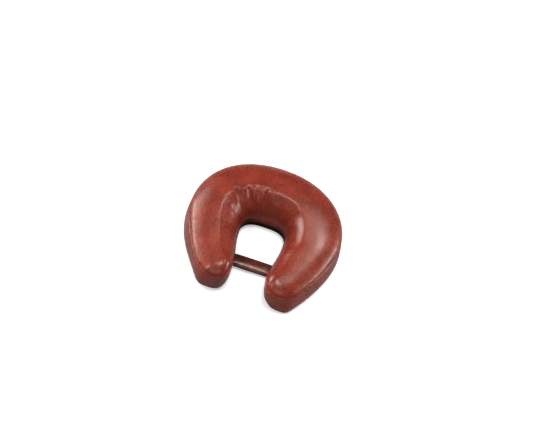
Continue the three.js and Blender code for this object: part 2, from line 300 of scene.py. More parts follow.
def positions(piece):
    flat = np.empty(len(piece.data.vertices) * 3)
    piece.data.vertices.foreach_get("co", flat)
    return flat.reshape(-1, 3)


def set_positions(piece, points):
    piece.data.vertices.foreach_set("co", points.astype(np.float32).ravel())
    piece.data.update()


def vertex_normals(piece):
    flat = np.empty(len(piece.data.vertices) * 3)
    piece.data.vertex_normals.foreach_get("vector", flat)
    return flat.reshape(-1, 3)


def subdivide(piece):
    modifier = piece.modifiers.new("finer", "SUBSURF")
    modifier.levels = modifier.render_levels = 1
    modifier.boundary_smooth = "PRESERVE_CORNERS"
    apply_modifiers(piece)


def apply_modifiers(piece):
    bpy.context.view_layer.update()
    evaluated = piece.evaluated_get(bpy.context.evaluated_depsgraph_get())
    mesh = bpy.data.meshes.new_from_object(evaluated)
    piece.modifiers.clear()
    piece.data = mesh


def relax(points, faces, weight, rounds):
    """Laplacian smoothing, each point moving by its own weight."""
    pairs = {tuple(sorted((f[k], f[(k + 1) % len(f)]))) for f in faces for k in range(len(f))}
    a, b = np.array(sorted(pairs)).T
    degree = np.bincount(a, minlength=len(points)) + np.bincount(b, minlength=len(points))
    for _ in range(rounds):
        total = np.zeros_like(points)
        for k in range(3):
            total[:, k] = np.bincount(a, points[b, k], len(points))
            total[:, k] += np.bincount(b, points[a, k], len(points))
        points = points + weight[:, None] * (total / degree[:, None] - points)
    return points


CLOTH_SCALE = 10  # Blender's cloth is steadier on a larger mesh


def settle(piece, hold, rest, pressure, stiffness, bending, frames, cap, give=1.0):
    """Runs Blender's cloth on the piece and applies the result.

    hold is each vertex's pin weight, rest the shape whose lengths the cloth keeps, and give the part of its
    own movement that each vertex keeps. No vertex moves further than cap.
    """
    start = positions(piece)
    set_positions(piece, start * CLOTH_SCALE)
    group = piece.vertex_groups.new(name="hold")
    for number, weight in enumerate(hold):
        group.add([number], float(weight), "REPLACE")
    piece.shape_key_add(name="now")
    key = piece.shape_key_add(name="rest")
    key.data.foreach_set("co", (rest * CLOTH_SCALE).astype(np.float32).ravel())
    modifier = piece.modifiers.new("cloth", "CLOTH")
    cloth = modifier.settings
    cloth.quality = 8
    cloth.mass = 0.1
    cloth.air_damping = 2
    cloth.effector_weights.gravity = 0
    cloth.vertex_group_mass = "hold"
    cloth.pin_stiffness = 1
    cloth.tension_stiffness = cloth.compression_stiffness = stiffness
    cloth.shear_stiffness = stiffness / 3
    cloth.bending_stiffness = bending
    cloth.use_pressure = pressure > 0
    cloth.uniform_pressure_force = pressure
    cloth.rest_shape_key = key
    modifier.point_cache.frame_start, modifier.point_cache.frame_end = 1, frames
    scene = bpy.context.scene
    for number in range(1, frames + 1):
        scene.frame_set(number)
    evaluated = piece.evaluated_get(bpy.context.evaluated_depsgraph_get())
    flat = np.empty(len(start) * 3)
    evaluated.data.vertices.foreach_get("co", flat)
    move = flat.reshape(-1, 3) / CLOTH_SCALE - start
    piece.modifiers.remove(modifier)
    piece.shape_key_clear()
    piece.vertex_groups.remove(group)
    scene.frame_set(1)
    length = np.linalg.norm(move, axis=1)
    mean, most = length.mean() / MM, length.max() / MM
    print(f"{piece.name}: cloth moved {mean:.2f} mm on average, {most:.2f} mm at most")
    capped = move * np.minimum(1, cap / np.maximum(length, 1e-9))[:, None]
    set_positions(piece, start + capped * np.reshape(give, (-1, 1)))


# ---------- top cover ----------
SEAM_TUCK = 2.2 * MM  # how far a seam's edge is pulled in
SEAM_ROLL = 1.6 * MM  # how fast the surface comes out of it again
HEM = 6 * MM  # seam allowance turned inside

# The ridge is a sharp fold round the back of the bowl and a softer one along the left arm:
# the start and end along the ridge, left below 0, the fade at both, and the angle.
FOLDS = [
    (-88 * MM, 118 * MM, 40 * MM, math.radians(42)),
    (-195 * MM, -88 * MM, 30 * MM, math.radians(38)),
]

# Pleats at the back of the bowl, in mm: place along the ridge, half width, depth, and length down the bowl.
PLEATS = [
    (-84, 2.6, 0.8, 14),
    (-71, 3.8, 3.0, 32),
    (-50, 3.6, 2.8, 42),
    (-34, 2.8, 1.6, 24),
    (-16, 3.8, 3.0, 44),
    (10, 4.0, 0.4, 30),
]
PLEAT_RISE = 4 * MM  # how far a pleat runs up over the ridge

PLEAT_SIDES = [(1.9, 0.55), (-1.9, 0.35)]  # its raised sides: place in half widths, share of its depth

# Fine gathers just outside the ridge, at the left of the back.
TICKS = [(-103 + 4.6 * k) * MM for k in range(7)]
TICK_WIDTH, TICK_DEPTH, TICK_LENGTH = 1.5 * MM, 0.5 * MM, 13 * MM

LOW_ANGLE_START, LOW_ANGLE_FADE = 0.6, 0.4  # where the crown starts to lean in towards the tips
ROW_SPREAD = 1.25  # above 1, the cover's rows are closer together at the seam


class Cover:
    """The top cover's grid: points, faces, and for each point its place along and down from the ridge."""

    def __init__(self, s, row_count, inset=0.0):
        folds = [bump(s.along, low, high, fade) * angle for low, high, fade, angle in FOLDS]
        top_angle = math.pi / 2 - np.max(folds, axis=0) * s.inner
        low_angle = TIP_LOW_ANGLE * rise(s.share, LOW_ANGLE_START, LOW_ANGLE_FADE)
        power = 2 / s.crown()
        fine = np.linspace(0, 1, 160)
        seam_z, ridge_z = s.seam_z(), s.ridge_z() - inset
        rows = np.empty((row_count, s.count, 3))
        down = np.empty((row_count, s.count))
        for i in range(s.count):
            angle = low_angle[i] + fine * (top_angle[i] - low_angle[i])
            level, lift = np.cos(angle).clip(0) ** power[i], np.sin(angle) ** power[i]
            across = (level[0] - level) / (level[0] - level[-1])
            up = (lift - lift[0]) / (lift[-1] - lift[0])
            start = s.seam[i] - s.normal[i] * (inset + s.lean[i])
            line = np.column_stack(
                [
                    start[0] + (s.ridge[i, 0] - start[0]) * across,
                    start[1] + (s.ridge[i, 1] - start[1]) * across,
                    seam_z[i] + (ridge_z[i] - seam_z[i]) * up,
                ]
            )
            steps = np.linalg.norm(np.diff(line, axis=0), axis=1)
            along = np.concatenate([[0], np.cumsum(steps)])
            at = along[-1] * np.linspace(0, 1, row_count) ** ROW_SPREAD
            rows[:, i] = np.column_stack([np.interp(at, along, line[:, k]) for k in range(3)])
            down[:, i] = along[-1] - at
        if inset:
            self.stand(s, rows, down, inset)
        else:
            self.tuck(s, rows, down)
        self.join(s)

    def stand(self, s, rows, down, inset):
        """Adds the straight side below the first row and the flat bottom, which ends under the ridge."""
        foot = rows[0].copy()
        foot[:, :2] = s.seam - s.normal * (inset + s.taper)[:, None]
        foot[:, 2] = BAND_Z
        under = np.column_stack([s.ridge, np.full(s.count, BAND_Z)])
        self.rows = np.concatenate([[under, foot], rows])
        self.down = np.concatenate([down[:1], down[:1], down])

    def tuck(self, s, rows, down):
        """Pulls the first rows in towards the seam, and adds the hem behind them."""
        from_seam = down[0] - down
        pull = SEAM_TUCK * np.exp(-from_seam / SEAM_ROLL)
        rows[:, :, :2] -= pull[:, :, None] * s.normal[None]
        hem = rows[:1].copy()
        hem[:, :, :2] -= HEM * s.normal[None]
        self.rows = np.concatenate([hem, rows])
        self.down = np.concatenate([down[:1] + HEM, down])

    def join(self, s):
        """Joins the last row's pairs of points along the ridge, and makes the faces."""
        count = s.count
        body = self.rows[:-1].reshape(-1, 3)
        body_down = self.down[:-1].ravel()
        numbers = sorted(set(s.ridge_number.tolist()))
        first = {n: int(np.argmax(s.ridge_number == n)) for n in numbers}
        place = {n: len(body) + k for k, n in enumerate(numbers)}
        crest = np.array([self.rows[-1, first[n]] for n in numbers])
        self.points = np.vstack([body, crest])
        grid_rows = len(self.rows) - 1
        faces = list(rows_between(0, grid_rows - 1, count, True))
        base = (grid_rows - 1) * count
        for c in range(count):
            d = (c + 1) % count
            a, b = place[s.ridge_number[c]], place[s.ridge_number[d]]
            faces.append((base + c, base + d, b, a) if a != b else (base + c, base + d, a))
        self.faces = faces
        body_row = np.repeat(np.arange(grid_rows), count)
        self.row = np.concatenate([body_row, np.full(len(crest), grid_rows)])

        def per_point(values):
            return np.concatenate([np.tile(values, grid_rows), [values[first[n]] for n in numbers]])

        self.along = per_point(s.along)
        self.inner = per_point(s.inner)
        self.share = per_point(s.share)
        # Distance from the ridge: above 0 on the bowl's side, below 0 on the outer side.
        from_ridge = np.concatenate([body_down, np.zeros(len(crest))])
        self.down = from_ridge * np.where(self.inner > 0.5, 1, -1)
        self.crest = np.concatenate([np.zeros(len(body), bool), np.ones(len(crest), bool)])


def pleat_depth(cover):
    """How far each point moves along its normal for the pleats and the fine gathers."""
    along, down = cover.along, cover.down
    move = np.zeros(len(along))
    for place, width, depth, length in PLEATS:
        x = (along - place * MM) / (width * MM)
        above = smooth((1 + down / PLEAT_RISE).clip(0, 1))
        below = smooth((1 - down / (length * MM)).clip(0, 1))
        groove = np.exp(-(x**2))
        for side_place, height in PLEAT_SIDES:
            groove = groove - height * np.exp(-((x - side_place) ** 2))
        move -= depth * MM * groove * (above * below)
    for place in TICKS:
        at_ridge = smooth((-down / (0.3 * TICK_LENGTH)).clip(0, 1))
        outside = smooth((1 + down / TICK_LENGTH).clip(0, 1))
        move -= TICK_DEPTH * hill(along, place, TICK_WIDTH) * (at_ridge * outside)
    return move


BOWL_EXCESS = 0.06  # how much longer the vinyl is round the bowl than the foam under it
BOWL_EDGE = 30 * MM  # how far down from the ridge the vinyl reaches its full excess
PLEATED = (-95 * MM, -10 * MM)  # the stretch of the ridge where the small folds may run over it
PLEATED_FADE = 12 * MM
OUTSIDE_GIVE = 0.25  # the part of its movement that the vinyl keeps outside the ridge,
OUTSIDE_FADE = 12 * MM  # from this far out
RIDGE_HOLD = 0.92  # the part it loses at the ridge where that is plain,
RIDGE_SPREAD = 20 * MM  # and how far that reaches


def settle_cover(piece, cover):
    """Lets the top cover find its own small folds: it is longer than the bowl, and sewn down round it."""
    points = positions(piece)
    in_bowl = rise(cover.down, 0, BOWL_EDGE) * bump(cover.share, 0, 0.75, 0.25)
    centre = np.array([0, RIDGE["widest_y"]])
    rest = points.copy()
    rest[:, :2] = centre + (points[:, :2] - centre) * (1 + BOWL_EXCESS * in_bowl)[:, None]
    hold = np.where(cover.row <= 3, 1.0, 0.02)
    inside = smooth((cover.down / OUTSIDE_FADE + 1).clip(0, 1))
    give = OUTSIDE_GIVE + (1 - OUTSIDE_GIVE) * inside
    plain = 1 - bump(cover.along, *PLEATED, PLEATED_FADE)
    give *= 1 - RIDGE_HOLD * (hill(cover.down, 0, RIDGE_SPREAD) * plain)
    settle(
        piece,
        hold,
        rest,
        pressure=0.6,
        stiffness=12,
        bending=0.3,
        frames=14,
        cap=3 * MM,
        give=give,
    )


RIDGE_EASE = (5 * MM, 0.5, 2)  # smoothing all along the ridge: spread, weight and rounds
DOME_EASE = (16 * MM, 0.6, 40)  # and on the right arm, whose top is a round dome without a fold
DOME_START, DOME_FADE = 105 * MM, 45 * MM


def build_cover(material):
    cover = Cover(stations, COVER_ROWS)
    spread, weight, rounds = RIDGE_EASE
    near_ridge = hill(cover.down, 0, spread) * weight
    points = relax(cover.points, cover.faces, near_ridge, rounds)
    spread, weight, rounds = DOME_EASE
    wide_ridge = hill(cover.down, 0, spread) * weight * rise(cover.along, DOME_START, DOME_FADE)
    points = relax(points, cover.faces, wide_ridge, rounds)
    piece = new_piece("top_cover_vinyl", points, cover.faces, material)
    face_outwards(piece)
    if vertex_normals(piece)[cover.crest][:, 2].mean() < 0:
        face_outwards(piece, -1)
    points = points + vertex_normals(piece) * pleat_depth(cover)[:, None]
    set_positions(piece, points)
    settle_cover(piece, cover)
    subdivide(piece)
    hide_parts("top_cover")
    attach(piece, "root")


# ---------- side bands ----------
BAND_ROWS = 18
BAND_BULGE = 1.4 * MM
HOLE_ROLL = 1.2 * MM  # the rolled upper edge of the hole's band,
HOLE_ROLL_DROP = 3 * MM  # and how far under the seam it is


def band_grid(places, low_z):
    s = stations
    seam_z = s.seam_z()
    height = np.linspace(0, 1, BAND_ROWS)
    height = smooth(height) * 0.35 + height * 0.65
    rows = []
    for h in height:
        z = low_z + (seam_z[places] - low_z) * h
        from_top, from_low = seam_z[places] - z, z - low_z
        inset = SEAM_TUCK * (np.exp(-from_top / SEAM_ROLL) + np.exp(-from_low / SEAM_ROLL))
        inset -= BAND_BULGE * math.sin(math.pi * h) * (1 - s.inner[places])
        inset -= HOLE_ROLL * hill(from_top, HOLE_ROLL_DROP, SEAM_ROLL) * s.inner[places]
        inset += s.lean[places] * smooth(h) + s.taper[places] * (1 - h) ** 2
        plan = s.seam[places] - s.normal[places] * inset[:, None]
        rows.append(np.column_stack([plan, z]))
    return hemmed(rows, places)


def hemmed(rows, places):
    """The same rows with a seam allowance turned inside at both edges."""
    inward = np.column_stack([-stations.normal[places] * HEM, np.zeros(len(places))])
    return np.array([rows[0] + inward, *rows, rows[-1] + inward])


BAND_EXCESS = (0.015, 0.06)  # how much taller the vinyl is than its foam, at the back and the tips


def settle_band(piece, places, row_count):
    """Lets a band ease where it is taller than the foam. It moves by less than half a millimetre."""
    points = positions(piece)
    near_tip = rise(stations.share[places], 0.6, 0.4)
    excess = np.tile(BAND_EXCESS[0] + (BAND_EXCESS[1] - BAND_EXCESS[0]) * near_tip, row_count)
    rest = points.copy()
    rest[:, 2] += (points[:, 2] - BAND_Z) * excess
    row = np.repeat(np.arange(row_count), len(places))
    edge = (row <= 2) | (row >= row_count - 3)
    hold = np.where(edge, 1.0, 0.03)
    settle(
        piece,
        hold,
        rest,
        pressure=0,
        stiffness=12,
        bending=0.2,
        frames=12,
        cap=2 * MM,
    )


BAND_OVERLAP = 1 * MM  # how far the bands reach down over the base panel's rolled edge


def build_band(name, node, places, material):
    grid = band_grid(places, BAND_Z - BAND_OVERLAP)
    count = grid.shape[1]
    faces = list(rows_between(0, len(grid) - 1, count, False))
    piece = new_piece(name, grid.reshape(-1, 3), faces, material)
    settle_band(piece, places, len(grid))
    subdivide(piece)
    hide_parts(node)
    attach(piece, "root")


# ---------- underside ----------
def build_base(material):
    """The base panel: a flat sheet whose edge rolls up to the bands' lower seam."""
    s = stations
    levels = [
        (SEAM_TUCK + HEM, panel_high.z),
        (SEAM_TUCK, panel_high.z - 0.2 * MM),
        (1.2 * MM, panel_high.z - 0.6 * MM),
        (1.2 * MM, panel_low.z + 0.6 * MM),
        (2.0 * MM, panel_low.z + 0.1 * MM),
        (4.0 * MM, panel_low.z),
    ]
    rows = []
    for inset, z in levels:
        plan = s.seam - s.normal * (inset + s.taper)[:, None]
        rows.append(np.column_stack([plan, np.full(s.count, z)]))
    points = np.array(rows).reshape(-1, 3)
    faces = list(rows_between(0, len(rows) - 1, s.count, True))
    first = (len(rows) - 1) * s.count
    # The flat middle: the right half's outer places pair up with its hole places, and so do the left's.
    n = SIDE_PLACES
    right_hole = lambda k: first + 2 * n + TIP_PLACES - 1 - k
    for k in range(n - 1):
        faces.append((first + k, first + k + 1, right_hole(k + 1), right_hole(k)))
    left_outer = lambda k: first + (s.count - k) % s.count
    left_hole = lambda k: first + 2 * n + TIP_PLACES - 1 + k
    for k in range(n - 1):
        faces.append((left_outer(k), left_hole(k), left_hole(k + 1), left_outer(k + 1)))
    right_tip = [first + n - 1 + k for k in range(TIP_PLACES + 2)]
    faces.append(tuple(right_tip))
    left_tip = [left_outer(n - 1 + k) for k in range(TIP_PLACES + 2)]
    faces.append(tuple(left_tip[::-1]))
    piece = new_piece("base_panel_vinyl", points, faces, material)
    face_outwards(piece)
    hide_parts("base_panel")
    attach(piece, "root")


# ---------- strap ----------
STRAP_WIDTH = sleeve_high.y - sleeve_low.y
STRAP_HEIGHT = sleeve_high.z - sleeve_low.z
STRAP_ROUNDNESS = 2.4
STRAP_SEAMS = [math.radians(218), math.radians(28)]  # lower front edge and upper back edge
STRAP_SEAM_SPREAD = math.radians(7)
STRAP_EXCESS = 0.09  # how much wider the sleeve's vinyl is than its padding
STRAP_PINCH = 0.12  # how much of its height the sleeve loses where it goes into the arms


def build_strap(material):
    around, along = 72, 150  # places round the sleeve and along it
    reach = sleeve_high.x + 2 * MM
    angle = np.linspace(0, 2 * math.pi, around, endpoint=False)
    y = np.sign(np.cos(angle)) * np.abs(np.cos(angle)) ** (2 / STRAP_ROUNDNESS)
    z = np.sign(np.sin(angle)) * np.abs(np.sin(angle)) ** (2 / STRAP_ROUNDNESS)
    seam = sum(hill(angle, at, STRAP_SEAM_SPREAD) for at in STRAP_SEAMS)
    rows = []
    for x in np.linspace(-reach, reach, along):
        end = abs(x) / reach
        pinch = 1 - STRAP_PINCH * smooth(max(0, (end - 0.6) / 0.4))
        size_y = (STRAP_WIDTH / 2 * (1 - 0.04 * end)) * (1 - 0.07 * seam)
        size_z = (STRAP_HEIGHT / 2 * pinch) * (1 - 0.10 * seam)
        rows.append(np.column_stack([np.full(around, x), STRAP_Y + y * size_y, STRAP_Z + z * size_z]))
    points = np.array(rows).reshape(-1, 3)
    faces = list(rows_between(0, along - 1, around, True))
    faces.append(tuple(range(around)))
    faces.append(tuple(range((along - 1) * around, along * around))[::-1])
    piece = new_piece("strap_sleeve_vinyl", points, faces, material)
    face_outwards(piece)
    middle = np.array([0, STRAP_Y, STRAP_Z])
    rest = points.copy()
    rest[:, 1:] = middle[1:] + (points[:, 1:] - middle[1:]) * (1 + STRAP_EXCESS)
    row = np.repeat(np.arange(along), around)
    hold = np.where((row <= 1) | (row >= along - 2), 1.0, 0.02) + np.tile(0.5 * seam, along)
    settle(
        piece,
        hold.clip(0, 1),
        rest,
        pressure=0.1,
        stiffness=10,
        bending=0.1,
        frames=14,
        cap=1.2 * MM,
    )
    subdivide(piece)
    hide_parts("strap_sleeve")
    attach(piece, "root")


# ---------- foam and the other pieces inside ----------
FOAM_INSET = 7 * MM  # room for the cover's pleats and seams
PADDING_SCALE = 0.94  # leaves room inside the sleeve
WELD = 0.01 * MM  # points closer than this are one point


def frame_solid(node, scale=None):
    """The frame's solid of a node, with its flat faces whole, and scaled about its middle if asked."""
    work = bmesh.new()
    work.from_mesh(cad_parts[node].data)
    bmesh.ops.remove_doubles(work, verts=work.verts, dist=WELD)
    if scale:
        low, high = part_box(node)
        middle = (low + high) / 2
        for vertex in work.verts:
            vertex.co = middle + (vertex.co - middle) * scale
    flat = math.radians(1)
    bmesh.ops.dissolve_limit(work, angle_limit=flat, verts=work.verts, edges=work.edges)
    return work


def foam_body():
    """The whole foam as one closed mesh, which the layers are cut from."""
    coarse = Cover(Stations(60, 16), 14, inset=FOAM_INSET)
    work = bmesh.new()
    vertices = [work.verts.new(p) for p in coarse.points]
    for face in coarse.faces:
        work.faces.new([vertices[k] for k in face])
    bmesh.ops.remove_doubles(work, verts=work.verts, dist=0.05 * MM)
    bmesh.ops.recalc_face_normals(work, faces=work.faces)
    return work


def cut_level(work, z, keep_above):
    """Cuts the body flat at height z and closes the cut."""
    geometry = work.verts[:] + work.edges[:] + work.faces[:]
    bmesh.ops.bisect_plane(
        work,
        geom=geometry,
        plane_co=(0, 0, z),
        plane_no=(0, 0, 1),
        clear_inner=keep_above,
        clear_outer=not keep_above,
    )
    rim = [e for e in work.edges if e.is_boundary]
    bmesh.ops.triangle_fill(work, edges=rim, use_beauty=True)
    bmesh.ops.recalc_face_normals(work, faces=work.faces)


def build_foam_layer(node, material):
    low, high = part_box(node)
    work = foam_body()
    if low.z > BAND_Z + MM:
        cut_level(work, low.z, keep_above=True)
    if node != "comfort_foam":
        cut_level(work, high.z, keep_above=False)
    finish_foam(node, work, material)


def finish_foam(node, work, material):
    mesh = bpy.data.meshes.new(node + "_block")
    work.to_mesh(mesh)
    work.free()
    piece = add_object(node + "_block", mesh)
    mesh.materials.append(material)
    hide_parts(node)
    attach(piece, "root")


def build_strap_padding(material):
    """The strap's filling: the frame's solid, a little smaller."""
    work = frame_solid("strap_padding", PADDING_SCALE)
    finish_foam("strap_padding", work, material)


# ---------- webbing, patches and tapes ----------
def build_sewn(node, name, material, edge):
    """A flat sewn piece: the frame's solid with its edges rounded."""
    work = frame_solid(node)
    mesh = bpy.data.meshes.new(name)
    work.to_mesh(mesh)
    work.free()
    piece = add_object(name, mesh)
    mesh.materials.append(material)
    modifier = piece.modifiers.new("edge", "BEVEL")
    modifier.width, modifier.segments, modifier.limit_method = edge, 3, "ANGLE"
    modifier.angle_limit = math.radians(40)
    modifier.harden_normals = True
    apply_modifiers(piece)
    piece.data.shade_smooth()
    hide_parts(node)
    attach(piece, "root")


STITCH_LENGTH, STITCH_GAP, STITCH_RADIUS = 3.2 * MM, 0.8 * MM, 0.35 * MM
STITCH_INSET = 2 * MM  # from the tape's edge
STITCH_SIDES = 8
STITCH_PROFILE = [(0, 0.5), (0.15, 0.9), (0.5, 1.0), (0.85, 0.9), (1, 0.5)]  # share of its length, size


def build_tape(node, material, thread_material):
    """A loop tape with a row of stitches round its edge, which stand a little out of the pile."""
    build_sewn(node, node + "_pile", material, 0.5 * MM)
    outline = tape_outline(node)
    steps = np.linalg.norm(np.roll(outline, -1, axis=0) - outline, axis=1)
    along = np.concatenate([[0], np.cumsum(steps)])
    closed = np.vstack([outline, outline[:1]])
    pitch = STITCH_LENGTH + STITCH_GAP
    count = int(along[-1] / pitch)
    points, faces = [], []
    for k in range(count):
        ends = [k * pitch, k * pitch + STITCH_LENGTH]
        a, b = (np.array([np.interp(at, along, closed[:, c]) for c in (0, 1)]) for at in ends)
        add_stitch(points, faces, a, b)
    stitches = new_piece(node + "_stitches", points, faces, thread_material)
    face_outwards(stitches)
    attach(stitches, "root")


def tape_outline(node):
    """The tape's outline as a loop of plan points, moved in by the stitches' inset."""
    work = frame_solid(node)
    low = min(v.co.z for v in work.verts)
    underside = next(f for f in work.faces if all(abs(v.co.z - low) < WELD for v in f.verts))
    loop = np.array([v.co[:2] for v in underside.verts])
    work.free()
    loop = evenly(np.vstack([loop, loop[:1]]), 400)[:-1]
    along = np.roll(loop, -1, axis=0) - np.roll(loop, 1, axis=0)
    along /= np.linalg.norm(along, axis=1)[:, None]
    inward = np.column_stack([-along[:, 1], along[:, 0]])
    if np.sum(inward * (loop.mean(axis=0) - loop)) < 0:
        inward = -inward
    return loop + inward * STITCH_INSET


def add_stitch(points, faces, a, b):
    """One stitch from a to b on the underside, its ends dipping into the pile."""
    heading = (b - a) / np.linalg.norm(b - a)
    across = np.array([-heading[1], heading[0]])
    first = len(points)
    turns = np.linspace(0, 2 * math.pi, STITCH_SIDES, endpoint=False)
    for share, size in STITCH_PROFILE:
        middle = a + (b - a) * share
        for turn in turns:
            plan = middle + across * math.cos(turn) * STITCH_RADIUS * size
            dip = STITCH_RADIUS * (1 - size)
            points.append((plan[0], plan[1], math.sin(turn) * STITCH_RADIUS * size + dip))
    last = len(STITCH_PROFILE) - 1
    for quad in rows_between(0, last, STITCH_SIDES, True):
        faces.append(tuple(first + corner for corner in quad))
    faces.append(tuple(first + c for c in range(STITCH_SIDES)))
    faces.append(tuple(first + last * STITCH_SIDES + c for c in range(STITCH_SIDES))[::-1])


# ---------- materials ----------
def srgb(red, green, blue):
    """A linear colour from 0 to 255 screen values."""
    screen = (red, green, blue)
    linear = tuple(((v / 255 + 0.055) / 1.055) ** 2.4 if v > 10 else v / 3294.6 for v in screen)
    return linear + (1,)


class Nodes:
    """A new material's node tree, with short ways to add and link nodes."""

    def __init__(self, name):
        self.material = bpy.data.materials.new(name)
        self.material.use_nodes = True
        self.tree = self.material.node_tree
        self.shader = self.tree.nodes["Principled BSDF"]
        self.place = self.add("ShaderNodeTexCoord").outputs["Object"]

    def add(self, kind, **settings):
        node = self.tree.nodes.new(kind)
        for key, value in settings.items():
            setattr(node, key, value)
        return node

    def link(self, source, target):
        self.tree.links.new(source, target)

    def noise(self, scale, detail=3.0, roughness=0.55):
        node = self.add("ShaderNodeTexNoise")
        node.inputs["Scale"].default_value = scale
        node.inputs["Detail"].default_value = detail
        node.inputs["Roughness"].default_value = roughness
        self.link(self.place, node.inputs["Vector"])
        return node.outputs["Fac"]

    def cells(self, scale, feature="SMOOTH_F1"):
        node = self.add("ShaderNodeTexVoronoi", feature=feature)
        node.inputs["Scale"].default_value = scale
        self.link(self.place, node.inputs["Vector"])
        return node.outputs["Distance"]

    def wave(self, scale, way):
        node = self.add("ShaderNodeTexWave", bands_direction=way)
        node.inputs["Scale"].default_value = scale
        node.inputs["Distortion"].default_value = 0.4
        self.link(self.place, node.inputs["Vector"])
        return node.outputs["Fac"]

    def ramp(self, source, stops):
        node = self.add("ShaderNodeValToRGB")
        elements = node.color_ramp.elements
        while len(elements) < len(stops):
            elements.new(0.5)
        for element, (at, color) in zip(elements, stops):
            element.position = at
            element.color = color
        self.link(source, node.inputs["Fac"])
        return node.outputs["Color"]

    def scaled(self, source, low, high, from_low=0.0, from_high=1.0):
        node = self.add("ShaderNodeMapRange")
        ranges = {"From Min": from_low, "From Max": from_high, "To Min": low, "To Max": high}
        for key, value in ranges.items():
            node.inputs[key].default_value = value
        self.link(source, node.inputs["Value"])
        return node.outputs["Result"]

    def mix(self, factor, first, second, blend="MIX"):
        node = self.add("ShaderNodeMix", data_type="RGBA", blend_type=blend)
        wanted = (("Factor", "VALUE", factor), ("A", "RGBA", first), ("B", "RGBA", second))
        for key, kind, value in wanted:
            socket = [s for s in node.inputs if s.name == key and s.type == kind][0]
            if isinstance(value, (int, float, tuple)):
                socket.default_value = value
            else:
                self.link(value, socket)
        return [s for s in node.outputs if s.type == "RGBA"][0]

    def painted_height_shade(self, color, heights, shades):
        """The colour times a painted shade that changes from one height to another."""
        parts = self.add("ShaderNodeSeparateXYZ")
        self.link(self.place, parts.inputs["Vector"])
        shade = self.scaled(parts.outputs["Z"], *shades, *heights)
        tint = self.add("ShaderNodeVectorMath", operation="SCALE")
        self.link(color, tint.inputs[0])
        self.link(shade, tint.inputs["Scale"])
        return tint.outputs["Vector"]

    def bumps(self, layers):
        """Stacks (height, distance in metres, strength) layers into the shader's normal."""
        below = None
        for height, distance, strength in layers:
            node = self.add("ShaderNodeBump")
            node.inputs["Distance"].default_value = distance
            node.inputs["Strength"].default_value = strength
            self.link(height, node.inputs["Height"])
            if below is not None:
                self.link(below, node.inputs["Normal"])
            below = node.outputs["Normal"]
        self.link(below, self.shader.inputs["Normal"])


WARM_SHINE = (1.0, 0.74, 0.62, 1)  # the vinyl's finish tints what it reflects
GRAIN_DARK, GRAIN_LIGHT = (0.66, 0.62, 0.62, 1), (1.06, 1.06, 1.06, 1)  # times the colour


def vinyl(name, deep, middle, light, roughness, shine=0.46, fade=None):
    """Upholstery vinyl: a pebbled grain, mottled colour and a satin coat.

    fade is two heights, and what the colour is multiplied by at each, as a painted shade that changes with
    height.
    """
    n = Nodes(name)
    patches = n.noise(26, 5, 0.65)
    coarse = n.noise(260, 4, 0.75)
    fine = n.noise(600, 3, 0.6)
    color = n.ramp(patches, [(0.32, deep), (0.52, middle), (0.72, light)])
    speck = n.ramp(coarse, [(0.32, GRAIN_DARK), (0.66, GRAIN_LIGHT)])
    color = n.mix(0.7, color, speck, "MULTIPLY")
    # Where fade is given, the colour gets a painted shade that changes with height.
    if fade:
        color = n.painted_height_shade(color, *fade)
    n.link(color, n.shader.inputs["Base Color"])
    uneven = n.scaled(coarse, roughness - 0.09, roughness + 0.12, 0.35, 0.65)
    n.link(uneven, n.shader.inputs["Roughness"])
    n.bumps(
        [
            (n.noise(60, 3), 1.0 * MM, 0.35),
            (coarse, 0.6 * MM, 0.55),
            (n.cells(700), 0.3 * MM, 0.5),
            (fine, 0.15 * MM, 0.5),
        ]
    )
    n.shader.inputs["Specular IOR Level"].default_value = shine
    n.shader.inputs["Specular Tint"].default_value = WARM_SHINE
    n.shader.inputs["Coat Weight"].default_value = 0.3 * shine
    n.shader.inputs["Coat Roughness"].default_value = 0.18
    return n.material


def loop_pile(name, deep, light):
    """The looped side of a hook-and-loop tape: a dense matt fuzz."""
    n = Nodes(name)
    loops = n.cells(1400, "F1")
    n.link(n.ramp(loops, [(0.1, light), (0.6, deep)]), n.shader.inputs["Base Color"])
    n.shader.inputs["Roughness"].default_value = 0.95
    n.shader.inputs["Sheen Weight"].default_value = 0.5
    n.bumps([(n.noise(300, 3), 0.4 * MM, 0.5), (loops, 0.6 * MM, 0.9)])
    return n.material


def woven(name, tone):
    """Flat webbing: ribs across and along it."""
    n = Nodes(name)
    across = n.wave(420, "X")
    along = n.wave(260, "Y")
    dark = srgb(*(0.6 * v for v in tone))
    ribs = n.mix(across, dark, srgb(*tone))
    n.link(n.mix(n.noise(500, 2), ribs, dark), n.shader.inputs["Base Color"])
    n.shader.inputs["Roughness"].default_value = 0.8
    n.bumps([(across, 0.3 * MM, 0.7), (along, 0.2 * MM, 0.6)])
    return n.material


def thread(name, tone):
    """Twisted sewing thread."""
    n = Nodes(name)
    dark = srgb(*(0.7 * v for v in tone))
    n.link(n.mix(n.noise(1500, 2), dark, srgb(*tone)), n.shader.inputs["Base Color"])
    n.shader.inputs["Roughness"].default_value = 0.6
    n.bumps([(n.wave(900, "DIAGONAL"), 0.1 * MM, 0.6)])
    return n.material


def foam(name, tone):
    """Open-cell foam: pale, matt and pitted with pores."""
    n = Nodes(name)
    dark = srgb(*(0.82 * v for v in tone))
    color = n.ramp(n.noise(90, 4), [(0.35, dark), (0.65, srgb(*tone))])
    n.link(color, n.shader.inputs["Base Color"])
    n.shader.inputs["Roughness"].default_value = 0.95
    n.bumps([(n.cells(900), 0.5 * MM, 0.8)])
    return n.material


# ---------- camera, light and floor ----------
# The camera looks from the arms' open side, high up, and is turned about its own axis.
TURN, HEIGHT_ANGLE, ROLL = math.radians(1.84), math.radians(52.25), math.radians(16.79)
CAMERA_DISTANCE = 1.525
CAMERA_LENS = 55.2
CAMERA_SHIFT = (0.0065, 0.0190)
AIM = Vector((0, -4.7 * MM, 31.9 * MM))


